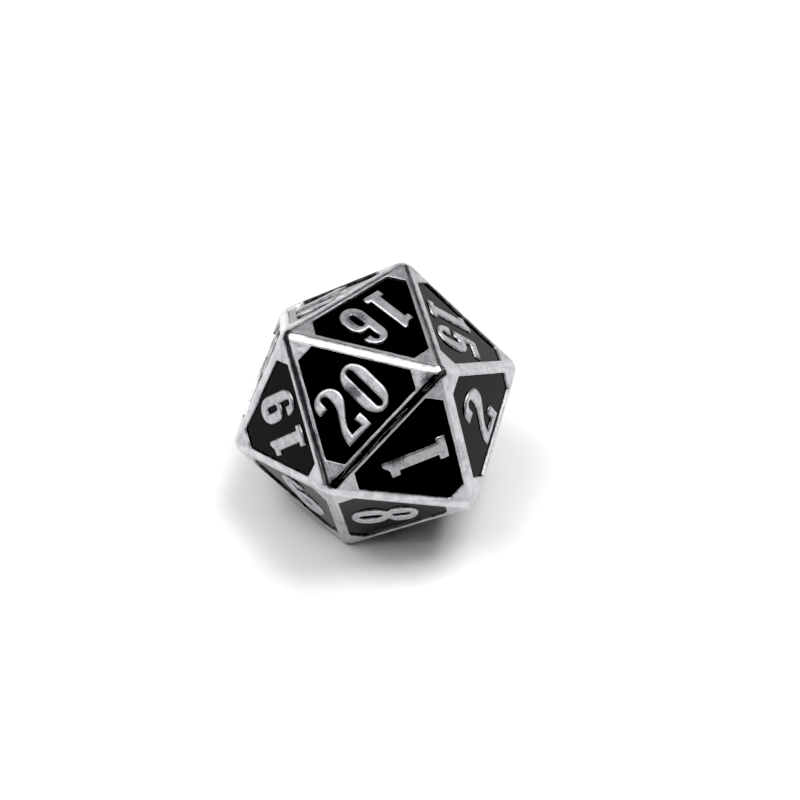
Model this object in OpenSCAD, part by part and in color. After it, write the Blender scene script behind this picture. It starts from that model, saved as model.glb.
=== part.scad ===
// Twenty-sided countdown die: one metal casting whose faces are shallow pockets with
// raised numerals, and a pool of black enamel in every pocket and numeral eye.
// Origin at the centre of the die. The face numbered 16 is up (+Z), the face numbered 20
// looks to the front (-Y) and slants upwards, and the die rests on the face numbered 6.

/* [Die] */
// Distance between two opposite faces
across_faces = 20; // [18:0.5:25]
// Width of the flat worn along each edge
edge_flat = 0.45; // [0.1:0.05:0.8]
// How far each corner is cut back from its sharp point
corner_cut = 0.2; // [0.2:0.02:0.4]

/* [Pockets] */
// Metal left between an edge of the die and the long side of a pocket
border_w = 0.57; // [0.45:0.01:0.8]
// Metal left between a corner of the die and the short side of a pocket
corner_web = 2.5; // [2:0.1:3]
// Depth of the pockets below the faces
pocket_depth = 0.6; // [0.4:0.05:0.9]
// How far the enamel's surface lies below the faces
enamel_drop = 0.18; // [0.05:0.01:0.3]

/* [Numerals] */
// Height of the numerals 1 to 9, as a share of the width across a pocket's long sides
single_share = 0.85; // [0.6:0.01:0.9]
// Height of the numerals 10 to 20, as a share of the width across a pocket's long sides
pair_share = 0.73; // [0.6:0.01:0.76]
// Distance between the middles of two digits side by side, as a share of their height
digit_pitch = 0.6; // [0.58:0.01:0.62]
// Line segments in each half turn of a numeral's round strokes
arc_steps = 10; // [6:1:24]

/* [Hidden] */
PHI = (1 + sqrt(5)) / 2;
SIDES = 3;
FACES = 20;

// Lengths of the sharp-edged solid that the die is cut from
edge_len = across_faces * sqrt(3) / (PHI * PHI);
face_dist = across_faces / 2;
edge_dist = edge_len * PHI / 2;
corner_dist = edge_len * sqrt(PHI * sqrt(5)) / 2;
face_inner_r = edge_len / (2 * sqrt(3));
face_outer_r = 2 * face_inner_r;

// Depth of the edge flats, from their width and the angle between two faces
half_dihedral = (180 - acos(sqrt(5) / 3)) / 2;
edge_drop = edge_flat / (2 * tan(half_dihedral));

// Distances from a pocket's centre to its long and its short sides
pocket_long_r = face_inner_r - border_w;
pocket_short_r = face_outer_r - corner_web;
enamel_t = pocket_depth - enamel_drop;

// The cutter stands this far out of a face, so that it leaves no skin
CUT_OVER = 1;

// Middle of the numerals, from the middle of their pocket
SINGLE_AT = [0, 0.1];
PAIR_AT = [-0.1, -0.2];

// The twelve corners: one at each end of an axis, and a ring of five near each end
RING_TURN = -360 / 5;
function ring(level, start) = [
    for (i = [0 : 4]) let (a = start + i * RING_TURN)
        [2 * cos(a), 2 * sin(a), level] / sqrt(5)
];
TURNED_CORNERS = concat([[0, 0, 1]], ring(1, 0), ring(-1, RING_TURN / 2), [[0, 0, -1]]);

// For each number, the corner at the top of its numeral and the other two corners.
// Numbers that follow each other are neighbours, and each numeral but the 9 stands on
// the edge that its face shares with the next number.
FACE_CORNERS = [
    [2, 1, 6],   // 1
    [1, 6, 10],  // 2
    [6, 10, 11], // 3
    [10, 9, 11], // 4
    [9, 8, 11],  // 5
    [8, 7, 11],  // 6
    [11, 6, 7],  // 7
    [6, 2, 7],   // 8
    [7, 2, 3],   // 9
    [7, 3, 8],   // 10
    [3, 4, 8],   // 11
    [8, 4, 9],   // 12
    [4, 5, 9],   // 13
    [9, 5, 10],  // 14
    [10, 1, 5],  // 15
    [1, 0, 5],   // 16
    [5, 0, 4],   // 17
    [4, 0, 3],   // 18
    [3, 0, 2],   // 19
    [0, 1, 2]    // 20
];

// The corners of the face numbered 16, first the one that isn't on the face numbered 20
UP_CORNERS = [5, 0, 1];

// Opposite parts share a slab: these numbers, edges and corners have one of each pair
FACE_PAIRS = [11 : 20];
EDGE_PAIRS = [for (i = [1 : 5]) each [[0, i], [i, i % 5 + 1], [i, i + 5]]];
CORNER_PAIRS = [0 : 5];

function unit(p) = p / norm(p);
function square_to(p) = unit(cross(p, abs(p.z) > 0.9 ? [1, 0, 0] : [0, 0, 1]));
function middle(pts) = (pts[0] + pts[1] + pts[2]) / 3;

// Axes of a face: right and up as its numeral is read, and out of the die
function face_axes(pts) =
    let (out = unit(middle(pts)), up = unit(pts[0] - middle(pts)))
        [cross(up, out), up, out];

up_axes = face_axes([for (i = UP_CORNERS) TURNED_CORNERS[i]]);
CORNERS = [for (p = TURNED_CORNERS) up_axes * p];
function axes_of(number) = face_axes([for (i = FACE_CORNERS[number - 1]) CORNERS[i]]);

// Numerals, drawn on a grid ten units tall with x = 0 at the middle of each digit.
// Wide sides and thin tops, square slabs and hooked ends.
GRID_H = 10;
STEM = 1.02;        // half the width of an upright stem
SLAB_H = 1.45;      // height of a foot or a bar
HAIR = 1;           // thickness at the top and bottom of a round stroke
EYE = 0.6;          // half the width of a numeral's eye
HOOK_IN = -0.8;     // inner side of a hooked end
CHANNEL = 0.52;     // far side of the gap inside a hook

// Points on part of an ellipse, from one angle to another
function arc(centre, radii, from, to) =
    let (steps = ceil(arc_steps * abs(to - from) / 180))
        [for (i = [0 : steps]) let (a = from + (to - from) * i / steps)
            centre + [radii.x * cos(a), radii.y * sin(a)]];

// Points on a smooth bend from a to d that leaves towards b and arrives from c
function bend(a, b, c, d) =
    let (steps = ceil(arc_steps * 0.7))
        [for (i = [0 : steps]) let (t = i / steps, s = 1 - t)
            s * s * s * a + 3 * s * s * t * b + 3 * s * t * t * c + t * t * t * d];

// An upright slot with round ends, between two heights
function slot(half_w, low, high, end_h) = concat(
    arc([0, high - end_h], [half_w, end_h], 0, 180),
    arc([0, low + end_h], [half_w, end_h], 180, 360)
);

function half_turned(pts) = [for (p = pts) [-p.x, GRID_H - p.y]];
function with_mirror_image(pts) = concat(pts, [for (i = [len(pts) - 1 : -1 : 0]) [-pts[i].x, pts[i].y]]);

function zero() = slot(2.5, 0, GRID_H, 3.2);

function one() = [
    [-1.85, 0], [1.85, 0], [1.85, SLAB_H], [STEM, SLAB_H], [STEM, GRID_H], [0.3, GRID_H],
    [-0.6, 9.1], [-1.8, 8.95], [-1.8, 7.6], [-STEM, 7.6], [-STEM, SLAB_H], [-1.85, SLAB_H]
];

function two() = concat(
    [[HOOK_IN, 7], [-2.6, 7]],
    arc([0, 7.6], [2.6, 2.4], 180, 0),
    bend([2.6, 7.4], [2.6, 5], [-0.85, 3.8], [-0.9, 1.1]),
    [[1.3, 1.1], [1.05, 2.75], [2.65, 2.75], [2.65, 0]],
    bend([-2.7, 0], [-2.5, 3.5], [CHANNEL, 4.8], [CHANNEL, 7.6]),
    arc([-0.14, 8.2], [0.66, 0.8], 0, 180)
);

function three() = concat(
    [[HOOK_IN, 7.2], [-2.4, 7.2]],
    arc([-0.05, 7.5], [2.35, 2.5], 180, 0),
    bend([2.3, 7.3], [2.3, 6.3], [1.9, 5.6], [1.2, 5.3]),
    bend([1.3, 5.2], [2, 4.9], [2.5, 4.1], [2.5, 2.9]),
    arc([0, 2.7], [2.5, 2.7], 0, -180),
    [[-2.5, 3.4], [HOOK_IN, 3.4]],
    arc([-0.1, 1.8], [0.7, 0.8], 180, 360),
    bend([0.6, 3.6], [0.6, 4.3], [0.3, 4.75], [-0.3, 4.75]),
    [[-1.1, 4.75], [-1.1, 5.8]],
    bend([-0.3, 5.8], [0.3, 5.8], [0.55, 6.1], [0.55, 6.8]),
    arc([-0.12, 8.2], [0.67, 0.8], 0, 180)
);

function four() = [
    [-0.9, 0], [2.7, 0], [2.7, 1.3], [1.95, 1.3], [1.95, 2.4], [2.7, 2.4], [2.7, 3.7], [1.95, 3.7],
    [1.95, GRID_H], [0.2, GRID_H], [-2.8, 3.7], [-2.8, 2.4], [0.05, 2.4], [0.05, 1.3], [-0.9, 1.3]
];

function five() = concat(
    [[-2.4, 4.4], [-2.4, GRID_H], [1.95, GRID_H], [1.8, 8.5], [-0.95, 8.5]],
    bend([-0.95, 6.8], [0.9, 7.5], [2.6, 6.3], [2.6, 3.8]),
    arc([0.05, 2.9], [2.55, 2.9], 0, -180),
    [[-2.5, 3.5], [HOOK_IN, 3.5]],
    arc([-0.15, 1.85], [0.65, 0.8], 180, 360),
    bend([0.5, 4.3], [0.5, 5.6], [-0.3, 5.9], [-1, 4.4])
);

function six() = concat(
    [[CHANNEL, 7.4], [2.16, 7.4]],
    arc([-0.12, 7.6], [2.28, 2.4], 0, 180),
    arc([0, 2.6], [2.4, 2.6], 180, 360),
    bend([2.4, 3.7], [2.4, 5.6], [1.2, 6.5], [-CHANNEL, 5.9]),
    arc([0, 8.1], [CHANNEL, 0.7], 180, 0)
);

function seven() = concat(
    [[-2.45, GRID_H], [-2.45, 7], [-1.3, 7], [-0.95, 8.5]],
    bend([0.4, 8.5], [-0.1, 6], [-1.3, 4.5], [-1.35, 0]),
    bend([0.8, 0], [0.8, 4.2], [1.95, 6.3], [1.95, 8.8]),
    [[1.95, GRID_H]]
);

function eight() = with_mirror_image(concat(
    arc([0, 7.6], [2.6, 2.4], 90, 0),
    bend([2.6, 7.3], [2.6, 6.4], [2.1, 5.8], [1.5, 5.4]),
    bend([1.7, 5.2], [2.3, 4.8], [2.75, 4.1], [2.75, 3]),
    arc([0, 2.8], [2.75, 2.8], 0, -90)
));

OUTLINES = [zero(), one(), two(), three(), four(), five(), six(), seven(), eight(), half_turned(six())];

// Eyes of each digit, the upper one first
SIX_EYE = slot(0.55, 1.85, 4.9, 0.7);
EYES = [
    [slot(EYE, HAIR, GRID_H - HAIR, 0.8)],
    [], [], [],
    [[[-1.25, 3.7], [0.05, 3.7], [0.05, 6.8]]],
    [],
    [SIX_EYE],
    [],
    [slot(EYE, 6.05, 8.85, 0.7), slot(0.7, 1.15, 4.65, 0.8)],
    [half_turned(SIX_EYE)]
];

// Where the last digit of each number stands, and how large a grid unit is there
function is_pair(number) = number >= GRID_H;
function height_of(number) = 2 * pocket_long_r * (is_pair(number) ? pair_share : single_share);
function last_digit(number) = number % 10;
function first_digit(number) = floor(number / 10);
function digit_shift(number) = is_pair(number) ? digit_pitch * height_of(number) / 2 : 0;
function seat_of(number) = is_pair(number) ? PAIR_AT : SINGLE_AT;

// Names of the nodes
function label(number) = str(number < GRID_H ? "0" : "", number);
function field_name(number) = str("enamel_field_", label(number));
function eye_place(i, count) = count == 1 ? "" : i == 0 ? "_upper" : "_lower";
function eye_names(number) =
    let (count = len(EYES[last_digit(number)]))
        [for (i = [0 : 1 : count - 1]) str("enamel_eye_", label(number), eye_place(i, count))];

// Puts a shape on the given axes, with its origin at a distance out along the third
module on_axes(axes, distance) {
    out = distance * axes[2];
    multmatrix([for (i = [0 : 2]) [axes[0][i], axes[1][i], axes[2][i], out[i]]]) children();
}

// The space between two opposite planes square to a direction
module slab(direction, distance) {
    side = square_to(direction);
    on_axes([side, cross(direction, side), direction], 0)
        cube([3 * across_faces, 3 * across_faces, 2 * distance], center = true);
}

module blank() {
    intersection() {
        intersection_for (n = FACE_PAIRS) slab(axes_of(n)[2], face_dist);
        intersection_for (e = EDGE_PAIRS) slab(unit(CORNERS[e[0]] + CORNERS[e[1]]), edge_dist - edge_drop);
        intersection_for (c = CORNER_PAIRS) slab(CORNERS[c], corner_dist - corner_cut);
    }
}

// A pocket's outline: a triangle with its corners cut off
module pocket_outline() {
    half_long = (pocket_short_r - pocket_long_r / 2) / cos(30);
    polygon([
        for (i = [0 : SIDES - 1], end = [-1, 1])
            let (turn = i * 360 / SIDES, x = end * half_long, y = -pocket_long_r)
                [x * cos(turn) - y * sin(turn), x * sin(turn) + y * cos(turn)]
    ]);
}

// Scales and places a digit's outline in its pocket
module seat(number, shift) {
    size = height_of(number) / GRID_H;
    translate(seat_of(number) + [shift, -height_of(number) / 2]) scale(size) children();
}

module solid_numeral(number) {
    shift = digit_shift(number);
    seat(number, shift) polygon(OUTLINES[last_digit(number)]);
    if (is_pair(number)) seat(number, -shift) polygon(OUTLINES[first_digit(number)]);
}

module eye(number, i) {
    seat(number, digit_shift(number)) polygon(EYES[last_digit(number)][i]);
}

module field(number) {
    difference() {
        pocket_outline();
        solid_numeral(number);
    }
}

// Fills an outline upwards from the floor of a pocket
module from_floor(number, height) {
    on_axes(axes_of(number), face_dist - pocket_depth) linear_extrude(height) children();
}

module pocket_cutter(number) {
    from_floor(number, pocket_depth + CUT_OVER) {
        field(number);
        for (i = [0 : 1 : len(EYES[last_digit(number)]) - 1]) eye(number, i);
    }
}

module die_casting() {
    color("lightgray") difference() {
        blank();
        for (n = [1 : FACES]) pocket_cutter(n);
    }
}

module enamel_field(number) {
    color("black") from_floor(number, enamel_t) field(number);
}

module enamel_eye(number, i) {
    color("black") from_floor(number, enamel_t) eye(number, i);
}

die_casting();
for (n = [1 : FACES]) enamel_field(n);
for (n = [1 : FACES], i = [0 : 1 : len(eye_names(n)) - 1])
    enamel_eye(n, i);
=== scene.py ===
"""Looks of a metal twenty-sided die: a plated casting with pools of black enamel.

The casting is modelled with rolled edges, rimmed pockets and cushioned numerals, and
each pool with the meniscus that liquid enamel leaves where it meets the metal. Shapes
are worked out in millimetres and made metres when they become pieces.
"""

import logging
import math
from dataclasses import dataclass, field
from enum import Enum
from functools import cached_property

import bmesh
import bpy
from mathutils import Matrix, Vector, noise


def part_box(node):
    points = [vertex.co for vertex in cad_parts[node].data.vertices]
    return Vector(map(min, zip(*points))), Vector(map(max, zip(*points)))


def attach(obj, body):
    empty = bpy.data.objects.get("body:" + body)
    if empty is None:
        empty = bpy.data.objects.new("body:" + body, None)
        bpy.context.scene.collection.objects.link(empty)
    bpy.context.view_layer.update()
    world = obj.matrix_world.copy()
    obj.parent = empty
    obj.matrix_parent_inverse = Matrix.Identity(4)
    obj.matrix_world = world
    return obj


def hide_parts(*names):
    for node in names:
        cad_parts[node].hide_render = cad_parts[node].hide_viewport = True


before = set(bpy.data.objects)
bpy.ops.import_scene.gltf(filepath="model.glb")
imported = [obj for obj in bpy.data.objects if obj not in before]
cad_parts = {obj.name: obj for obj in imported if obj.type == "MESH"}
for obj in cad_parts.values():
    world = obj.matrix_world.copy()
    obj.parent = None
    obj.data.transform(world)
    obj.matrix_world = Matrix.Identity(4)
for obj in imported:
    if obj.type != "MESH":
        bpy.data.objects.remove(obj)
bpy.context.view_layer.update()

LOG = logging.getLogger("die")

MM = 0.001
PHI = (1 + math.sqrt(5)) / 2
SIDES = 3
BODY = "root"
CASTING_NODE = "die_casting"
CORNERS = 12
RING_STEP = 72
FACE_TURN = math.acos(math.sqrt(5) / 3)
TINY = 1e-4
FLAT_ANGLE = math.radians(0.5)
CURVE_STEPS = 10
FLAT_WEIGHT = 100
NOISE_SEED = 20

# Sockets of a Mix node that are told apart only by their place.
MIX_SHARE = 0
NUMBER_A, NUMBER_B, NUMBER_OUT = 2, 3, 0
COLOUR_A, COLOUR_B, COLOUR_OUT = 6, 7, 2

Point = tuple[float, float]
Colour = tuple[float, float, float, float]
NodeValue = float | int | str | bool | tuple[float, ...]
Socket = bpy.types.NodeSocket
Geometry = bmesh.types.BMVert | bmesh.types.BMEdge

# For each number, the corner at the top of its numeral and the other two corners.
FACE_CORNERS: dict[int, tuple[int, int, int]] = {
    1: (2, 1, 6),
    2: (1, 6, 10),
    3: (6, 10, 11),
    4: (10, 9, 11),
    5: (9, 8, 11),
    6: (8, 7, 11),
    7: (11, 6, 7),
    8: (6, 2, 7),
    9: (7, 2, 3),
    10: (7, 3, 8),
    11: (3, 4, 8),
    12: (8, 4, 9),
    13: (4, 5, 9),
    14: (9, 5, 10),
    15: (10, 1, 5),
    16: (1, 0, 5),
    17: (5, 0, 4),
    18: (4, 0, 3),
    19: (3, 0, 2),
    20: (0, 1, 2),
}

# Corners of the face that is up, first the one away from the front.
UP_CORNERS = (5, 0, 1)


class Slot(Enum):
    """Material slots of the record."""

    METAL = "plated_metal"
    ENAMEL = "enamel"


def direction(azimuth: float, elevation: float) -> Vector:
    """Direction from the die.

    Args:
        azimuth: its side, in degrees; 0 is the front and 90 the right.
        elevation: its height above the horizon, in degrees.

    Returns:
        A vector one unit long.
    """
    side, rise = math.radians(azimuth), math.radians(elevation)
    return Vector((math.sin(side) * math.cos(rise), -math.cos(side) * math.cos(rise), math.sin(rise)))


def face_axes(corners: list[Vector]) -> Matrix:
    """Axes of a triangular face.

    Args:
        corners: its corners, first the one that its numeral's top points to.

    Returns:
        A matrix whose rows point right, up and out of the face.
    """
    middle = sum(corners, Vector()) / SIDES
    out = middle.normalized()
    up = (corners[0] - middle).normalized()
    return Matrix((up.cross(out), up, out))


@dataclass(frozen=True)
class DiePlan:
    """Sizes in millimetres that the casting and its enamel share.

    Attributes:
        across: distance between two opposite faces.
        border: metal between a sharp edge and the long side of a pocket.
        corner_web: metal between a sharp corner and the short side of a pocket.
        pocket_depth: depth of the pockets below the faces.
        enamel_drop: how far the enamel's middle lies below the faces.
        single_share: height of the numerals 1 to 9, as a share of a pocket's width.
        pair_share: height of the numerals 10 to 20, as a share of a pocket's width.
        digit_pitch: distance between two digits' middles, as a share of their height.
    """

    across: float
    border: float = 0.57
    corner_web: float = 2.5
    pocket_depth: float = 0.6
    enamel_drop: float = 0.18
    single_share: float = 0.85
    pair_share: float = 0.73
    digit_pitch: float = 0.6

    @property
    def edge_len(self) -> float:
        """Length of a sharp edge."""
        return self.across * math.sqrt(3) / PHI**2

    @property
    def face_dist(self) -> float:
        """Distance from the die's centre to a face."""
        return self.across / 2

    @property
    def corner_dist(self) -> float:
        """Distance from the die's centre to a sharp corner."""
        return self.edge_len * math.sqrt(PHI * math.sqrt(5)) / 2

    @property
    def pocket_long_r(self) -> float:
        """Distance from a pocket's middle to its long sides."""
        return self.edge_len / (2 * math.sqrt(3)) - self.border

    @property
    def pocket_short_r(self) -> float:
        """Distance from a pocket's middle to its short sides."""
        return self.edge_len / math.sqrt(3) - self.corner_web

    @cached_property
    def turn(self) -> Matrix:
        """Turns a solid that stands on a corner so that one face is up."""
        ring = [self._ring_corner(i) for i in range(CORNERS)]
        return face_axes([ring[i] for i in UP_CORNERS])

    def _ring_corner(self, index: int) -> Vector:
        """Corner of a solid that stands on a corner: 0 on top, two rings of five, 11 below.

        Args:
            index: number of the corner, 0 to 11.

        Returns:
            The corner, in the frame of that solid.
        """
        if index in (0, CORNERS - 1):
            return Vector((0, 0, 1 if index == 0 else -1)) * self.corner_dist
        upper = index <= 5
        angle = -math.radians(RING_STEP * (index - 1 if upper else index - 5.5))
        level = 1 if upper else -1
        ring = Vector((2 * math.cos(angle), 2 * math.sin(angle), level)) / math.sqrt(5)
        return ring * self.corner_dist

    def corner(self, index: int) -> Vector:
        """Sharp corner of the die in its own frame."""
        return self.turn @ self._ring_corner(index)

    @cached_property
    def _all_axes(self) -> dict[int, Matrix]:
        """Axes of every face."""
        return {n: face_axes([self.corner(i) for i in corners]) for n, corners in FACE_CORNERS.items()}

    @cached_property
    def _to_corners(self) -> dict[int, list[Vector]]:
        """Directions from each face's middle to its corners.

        Returns:
            For each number, three vectors one unit long.
        """
        turns = [Matrix.Rotation(side * math.tau / SIDES, 2) for side in range(SIDES)]
        flat = [turn @ Vector((0, 1)) for turn in turns]
        return {
            n: [axes.transposed() @ way.to_3d() for way in flat] for n, axes in self._all_axes.items()
        }

    def axes(self, number: int) -> Matrix:
        """Rows that point right, up and out of a numbered face."""
        return self._all_axes[number]

    def nearest(self, point: Vector) -> tuple[int, int]:
        """Numbers of the face that a point is nearest to and of the next nearest."""
        first, second = sorted(FACE_CORNERS, key=lambda n: -self.axes(n)[2].dot(point))[:2]
        return first, second

    def seat(self, number: int, level: float) -> Matrix:
        """Places a shape drawn flat on a numbered face.

        Args:
            number: the number on the face.
            level: distance from the die's centre to the drawing's plane.

        Returns:
            The matrix that takes the drawing there.
        """
        axes = self.axes(number)
        return Matrix.Translation(level * axes[2]) @ axes.transposed().to_4x4()

    def in_pocket(self, number: int, point: Vector, margin: float) -> bool:
        """Whether a point lies inside a face's pocket as seen from above it.

        Args:
            number: the number of the face.
            point: the point.
            margin: how far from the pocket's sides it has to be.

        Returns:
            True if it is inside every side by the margin.
        """
        for to_corner in self._to_corners[number]:
            reach = point.dot(to_corner)
            if reach > self.pocket_short_r - margin or -reach > self.pocket_long_r - margin:
                return False
        return True

    def numeral_height(self, number: int) -> float:
        """Height of a face's digits."""
        share = self.pair_share if number >= 10 else self.single_share
        return 2 * self.pocket_long_r * share


@dataclass
class Knot:
    """A point of an outline; a side without handles is straight."""

    at: Vector
    before: Vector | None = None
    after: Vector | None = None


@dataclass
class Outline:
    """A closed outline, drawn from knot to knot."""

    knots: list[Knot] = field(default_factory=list)

    def _knot(self, point: Point) -> Knot:
        """Finds or adds the knot that the drawing has come to.

        Args:
            point: where the knot is.

        Returns:
            The last knot if it is there, otherwise a new one.
        """
        at = Vector(point)
        if not self.knots or (self.knots[-1].at - at).length > TINY:
            self.knots.append(Knot(at))
        return self.knots[-1]

    def line(self, *points: Point) -> "Outline":
        """Draws straight sides.

        Args:
            points: the points to go through.

        Returns:
            This outline.
        """
        for point in points:
            self._knot(point)
        return self

    def bend(self, a: Point, b: Point, c: Point, d: Point) -> "Outline":
        """Draws a smooth bend.

        Args:
            a: where it starts.
            b: the point that it leaves towards.
            c: the point that it arrives from.
            d: where it ends.

        Returns:
            This outline.
        """
        self._knot(a).after = Vector(b)
        self._knot(d).before = Vector(c)
        return self

    def arc(self, centre: Point, radii: Point, start: float, end: float) -> "Outline":
        """Draws part of an ellipse.

        Args:
            centre: the ellipse's middle.
            radii: its half width and half height.
            start: angle of the first point, in degrees.
            end: angle of the last point, in degrees.

        Returns:
            This outline.
        """
        parts = math.ceil(abs(end - start) / 90 - TINY)
        step = math.radians(end - start) / parts
        reach = 4 / 3 * math.tan(step / 4)
        ends = []
        for i in range(parts + 1):
            angle = math.radians(start) + i * step
            across, rise = radii[0] * math.cos(angle), radii[1] * math.sin(angle)
            along = reach * Vector((-radii[0] * math.sin(angle), radii[1] * math.cos(angle)))
            ends.append((Vector((centre[0] + across, centre[1] + rise)), along))
        for (at_a, along_a), (at_d, along_d) in zip(ends, ends[1:]):
            self.bend(at_a, at_a + along_a, at_d - along_d, at_d)
        return self

    def changed(self, change: Matrix, backwards: bool = False) -> "Outline":
        """A copy that is moved, turned or scaled in its plane.

        Args:
            change: the 4x4 matrix to apply.
            backwards: whether the copy runs the other way.

        Returns:
            The new outline.
        """

        def moved(point: Vector | None) -> Vector | None:
            """The point after the change."""
            return None if point is None else (change @ point.to_3d()).to_2d()

        copy = [Knot(moved(k.at), moved(k.before), moved(k.after)) for k in self.knots]
        if backwards:
            copy = [Knot(k.at, k.after, k.before) for k in reversed(copy)]
        return Outline(copy)

    def add_to(self, curve: bpy.types.Curve) -> None:
        """Adds the outline to a curve as a closed spline.

        Args:
            curve: the curve's data.
        """
        knots = list(self.knots)
        if (knots[0].at - knots[-1].at).length < TINY:
            last = knots.pop()
            knots[0] = Knot(knots[0].at, last.before, knots[0].after)
        spline = curve.splines.new("BEZIER")
        spline.bezier_points.add(len(knots) - 1)
        spline.use_cyclic_u = True
        for knot, point in zip(knots, spline.bezier_points):
            point.co = knot.at.to_3d()
            point.handle_left_type = "VECTOR" if knot.before is None else "FREE"
            point.handle_right_type = "VECTOR" if knot.after is None else "FREE"
            if knot.before is not None:
                point.handle_left = knot.before.to_3d()
            if knot.after is not None:
                point.handle_right = knot.after.to_3d()


@dataclass(frozen=True)
class Digits:
    """Digits on a grid ten units tall, with x = 0 at the middle of each one.

    Attributes:
        grid: height of the grid.
        stem: half the width of an upright stem.
        slab: height of a foot or a bar.
        hair: thickness at the top and bottom of a round stroke.
        eye_w: half the width of a digit's eye.
        hook_in: inner side of a hooked end.
        channel: far side of the gap inside a hook.
    """

    grid: float = 10
    stem: float = 1.02
    slab: float = 1.45
    hair: float = 1
    eye_w: float = 0.6
    hook_in: float = -0.8
    channel: float = 0.52

    @staticmethod
    def _slot(half_w: float, low: float, high: float, end_h: float) -> Outline:
        """An upright slot with round ends, between two heights."""
        upper = Outline().arc((0, high - end_h), (half_w, end_h), 0, 180)
        return upper.arc((0, low + end_h), (half_w, end_h), 180, 360)

    def _half_turned(self, outline: Outline) -> Outline:
        """The outline turned upside down about the grid's middle."""
        turn = Matrix.Rotation(math.pi, 4, "Z")
        return outline.changed(Matrix.Translation((0, self.grid, 0)) @ turn)

    def _zero(self) -> Outline:
        """The digit 0."""
        return self._slot(2.5, 0, self.grid, 3.2)

    def _one(self) -> Outline:
        """The digit 1.

        Returns:
            Its outline.
        """
        s, slab = self.stem, self.slab
        foot = [(-1.85, 0), (1.85, 0), (1.85, slab), (s, slab), (s, self.grid)]
        flag = [(0.3, self.grid), (-0.6, 9.1), (-1.8, 8.95), (-1.8, 7.6), (-s, 7.6)]
        return Outline().line(*foot, *flag, (-s, slab), (-1.85, slab))

    def _two(self) -> Outline:
        """The digit 2.

        Returns:
            Its outline.
        """
        pen = Outline().line((self.hook_in, 7), (-2.6, 7))
        pen.arc((0, 7.6), (2.6, 2.4), 180, 0)
        pen.bend((2.6, 7.4), (2.6, 5), (-0.85, 3.8), (-0.9, 1.1))
        pen.line((1.3, 1.1), (1.05, 2.75), (2.65, 2.75), (2.65, 0))
        pen.bend((-2.7, 0), (-2.5, 3.5), (self.channel, 4.8), (self.channel, 7.6))
        return pen.arc((-0.14, 8.2), (0.66, 0.8), 0, 180)

    def _three(self) -> Outline:
        """The digit 3.

        Returns:
            Its outline.
        """
        pen = Outline().line((self.hook_in, 7.2), (-2.4, 7.2))
        pen.arc((-0.05, 7.5), (2.35, 2.5), 180, 0)
        pen.bend((2.3, 7.3), (2.3, 6.3), (1.9, 5.6), (1.2, 5.3))
        pen.bend((1.3, 5.2), (2, 4.9), (2.5, 4.1), (2.5, 2.9))
        pen.arc((0, 2.7), (2.5, 2.7), 0, -180)
        pen.line((-2.5, 3.4), (self.hook_in, 3.4))
        pen.arc((-0.1, 1.8), (0.7, 0.8), 180, 360)
        pen.bend((0.6, 3.6), (0.6, 4.3), (0.3, 4.75), (-0.3, 4.75))
        pen.line((-1.1, 4.75), (-1.1, 5.8))
        pen.bend((-0.3, 5.8), (0.3, 5.8), (0.55, 6.1), (0.55, 6.8))
        return pen.arc((-0.12, 8.2), (0.67, 0.8), 0, 180)

    def _four(self) -> Outline:
        """The digit 4.

        Returns:
            Its outer outline.
        """
        foot = [(-0.9, 0), (2.7, 0), (2.7, 1.3), (1.95, 1.3), (1.95, 2.4)]
        bar = [(2.7, 2.4), (2.7, 3.7), (1.95, 3.7), (1.95, self.grid), (0.2, self.grid)]
        tip = [(-2.8, 3.7), (-2.8, 2.4), (0.05, 2.4), (0.05, 1.3), (-0.9, 1.3)]
        return Outline().line(*foot, *bar, *tip)

    def _five(self) -> Outline:
        """The digit 5.

        Returns:
            Its outline.
        """
        pen = Outline().line((-2.4, 4.4), (-2.4, self.grid), (1.95, self.grid), (1.8, 8.5), (-0.95, 8.5))
        pen.bend((-0.95, 6.8), (0.9, 7.5), (2.6, 6.3), (2.6, 3.8))
        pen.arc((0.05, 2.9), (2.55, 2.9), 0, -180)
        pen.line((-2.5, 3.5), (self.hook_in, 3.5))
        pen.arc((-0.15, 1.85), (0.65, 0.8), 180, 360)
        return pen.bend((0.5, 4.3), (0.5, 5.6), (-0.3, 5.9), (-1, 4.4))

    def _six(self) -> Outline:
        """The digit 6.

        Returns:
            Its outer outline.
        """
        pen = Outline().line((self.channel, 7.4), (2.16, 7.4))
        pen.arc((-0.12, 7.6), (2.28, 2.4), 0, 180)
        pen.arc((0, 2.6), (2.4, 2.6), 180, 360)
        pen.bend((2.4, 3.7), (2.4, 5.6), (1.2, 6.5), (-self.channel, 5.9))
        return pen.arc((0, 8.1), (self.channel, 0.7), 180, 0)

    def _seven(self) -> Outline:
        """The digit 7.

        Returns:
            Its outline.
        """
        pen = Outline().line((-2.45, self.grid), (-2.45, 7), (-1.3, 7), (-0.95, 8.5))
        pen.bend((0.4, 8.5), (-0.1, 6), (-1.3, 4.5), (-1.35, 0))
        pen.bend((0.8, 0), (0.8, 4.2), (1.95, 6.3), (1.95, 8.8))
        return pen.line((1.95, self.grid))

    def _eight(self) -> Outline:
        """The digit 8, whose left half mirrors its right half.

        Returns:
            Its outer outline.
        """
        pen = Outline().arc((0, 7.6), (2.6, 2.4), 90, 0)
        pen.bend((2.6, 7.3), (2.6, 6.4), (2.1, 5.8), (1.5, 5.4))
        pen.bend((1.7, 5.2), (2.3, 4.8), (2.75, 4.1), (2.75, 3))
        pen.arc((0, 2.8), (2.75, 2.8), 0, -90)
        left = pen.changed(Matrix.Scale(-1, 4, (1, 0, 0)), backwards=True)
        left.knots[0] = Knot(left.knots[0].at, pen.knots[-1].before, left.knots[0].after)
        return Outline(pen.knots[:-1] + left.knots)

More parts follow.
